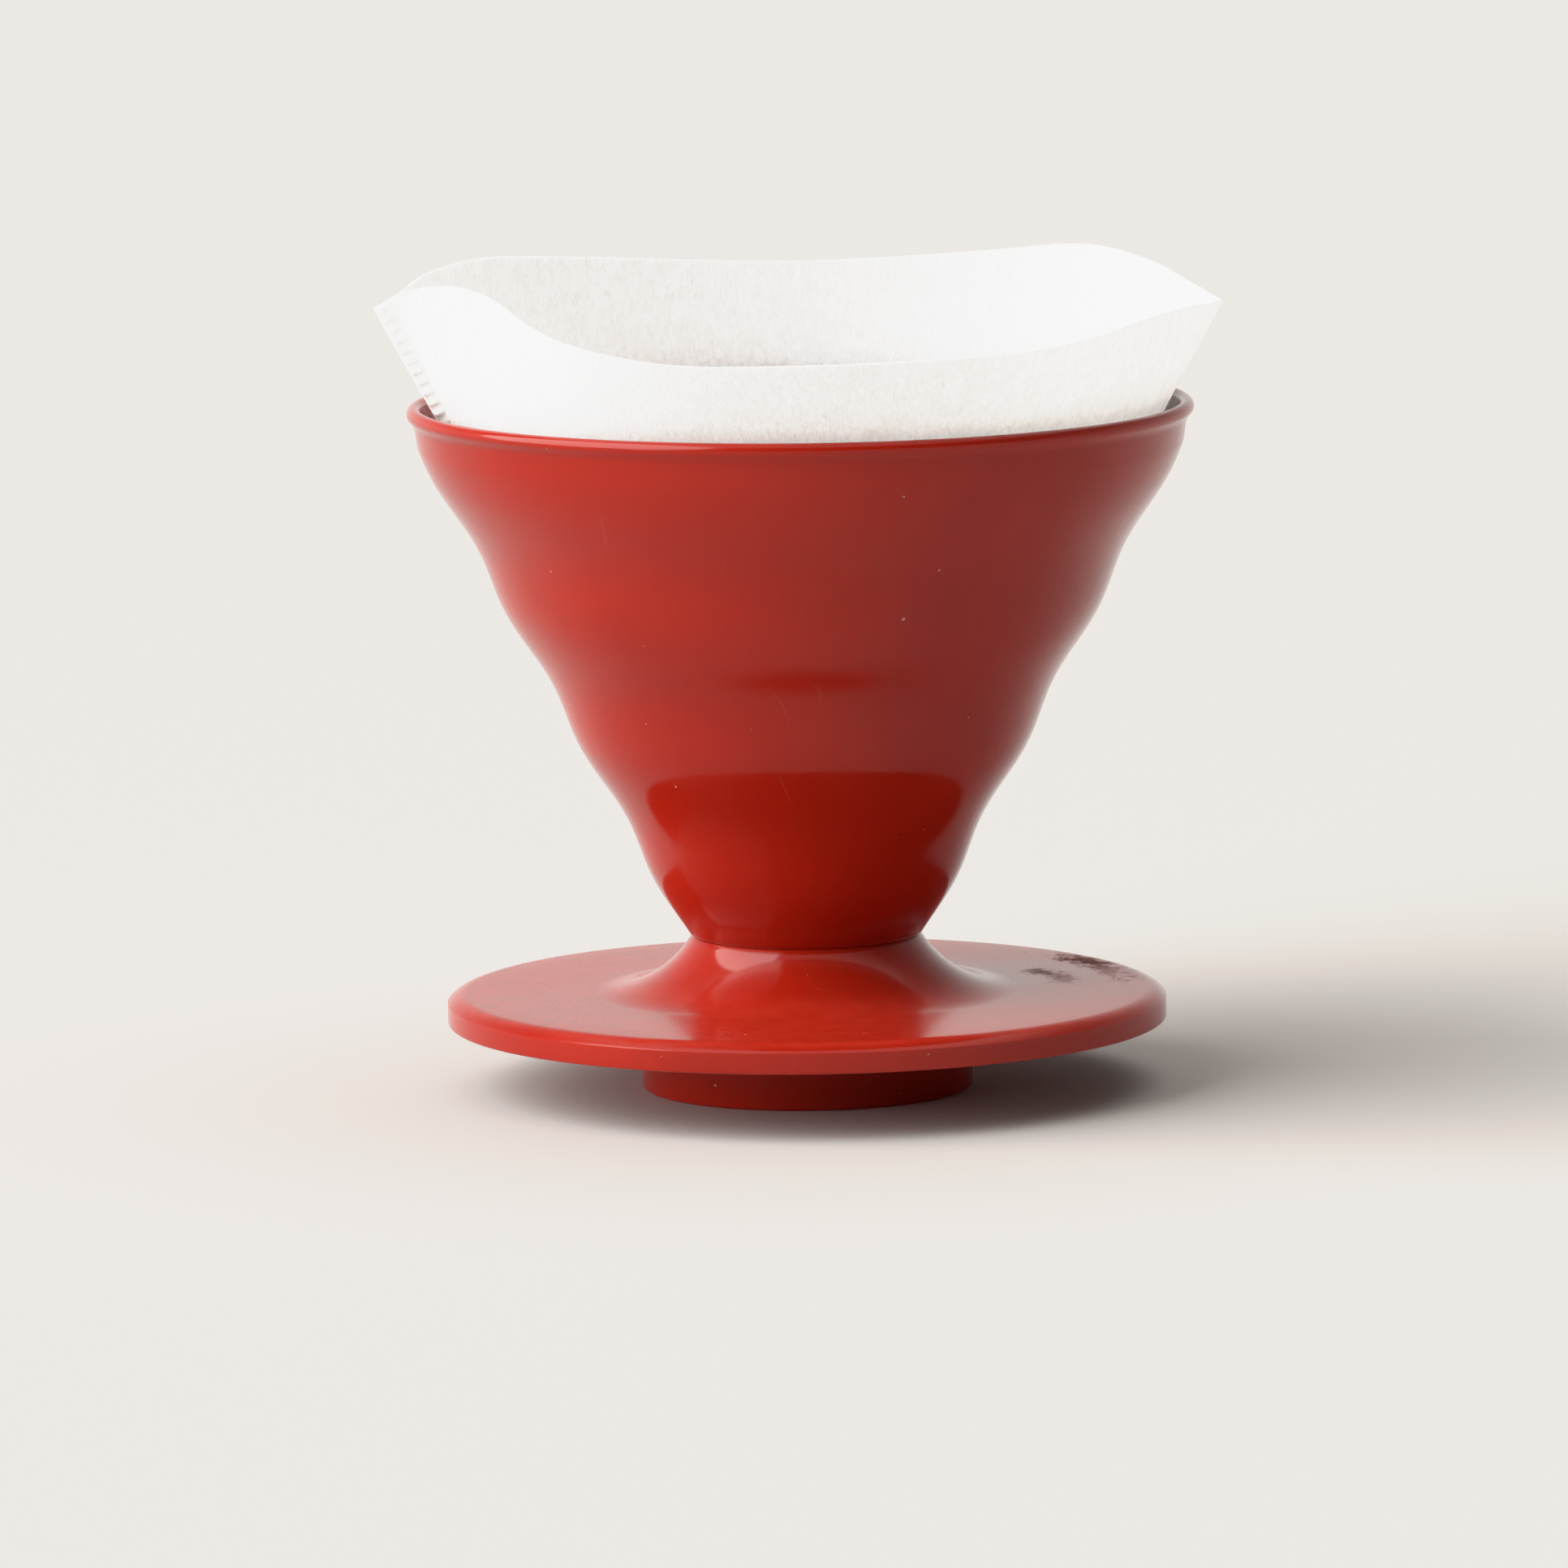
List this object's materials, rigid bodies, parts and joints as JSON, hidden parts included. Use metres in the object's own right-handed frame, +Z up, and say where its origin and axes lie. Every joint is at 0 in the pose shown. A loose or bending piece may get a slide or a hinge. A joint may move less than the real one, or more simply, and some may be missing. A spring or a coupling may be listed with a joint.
{
  "type": "pour over dripper",
  "caption": "Cone pour-over coffee dripper: glossy wavy plastic cone with spiral ribs and a loop handle, on a saucer-like base with a foot ring, holding a lift-out paper filter.",
  "frame": {"origin": "on the cone's axis, in the plane of the foot ring's lower face, where the dripper stands", "axes": "+Z up along the cone's axis; +Y from the axis towards the handle; +X to the right when the handle is at the back"},
  "size_m": [0.1284, 0.1432, 0.118],
  "materials": {
    "red_plastic": "gloss",
    "filter_paper": "matte"
  },
  "bodies": {
    "dripper": {"cone_body": "red_plastic", "base_plate": "red_plastic"},
    "filter": {"paper_filter": "filter_paper"}
  },
  "joints": [
    {"name": "filter_lift", "type": "slide", "parent": "dripper", "child": "filter", "axis": [0, 0, 1], "range_m": [0, 0.12]}
  ]
}
